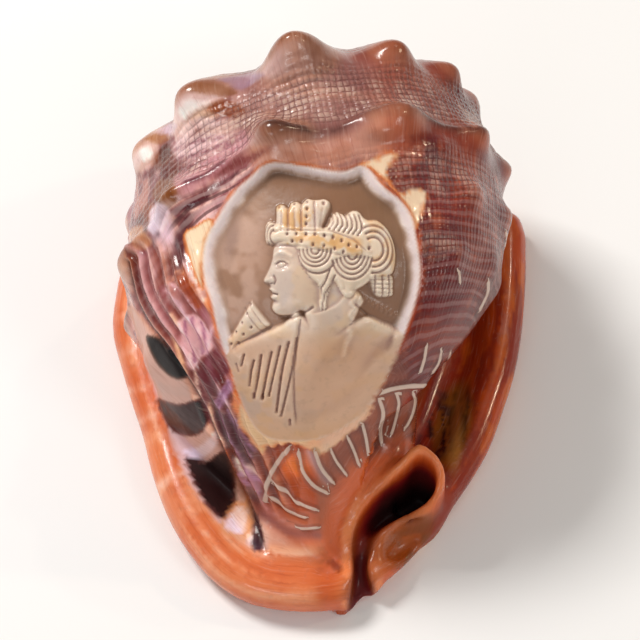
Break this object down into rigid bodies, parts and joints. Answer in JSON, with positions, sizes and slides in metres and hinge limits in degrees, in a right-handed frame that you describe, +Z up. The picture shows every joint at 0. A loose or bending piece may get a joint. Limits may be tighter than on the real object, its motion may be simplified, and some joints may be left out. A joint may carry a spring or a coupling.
{
  "type": "carved cameo shell",
  "caption": "Large helmet shell resting on its flat lip, knobbed and ribbed, with an oval cameo of a classical bust carved in its back and an upturned canal at the front.",
  "frame": {"origin": "on the surface the shell rests on, below the middle of its bounding box", "axes": "+Y along the shell towards the spire, +X to the side of the glossy shield, +Z up, away from the surface it rests on"},
  "size_m": [0.1182, 0.1467, 0.0988],
  "materials": {
    "shell": "glossy natural shell, orange and red-brown, ivory where it is carved"
  },
  "bodies": {
    "root": {"shell": "shell"}
  },
  "joints": []
}
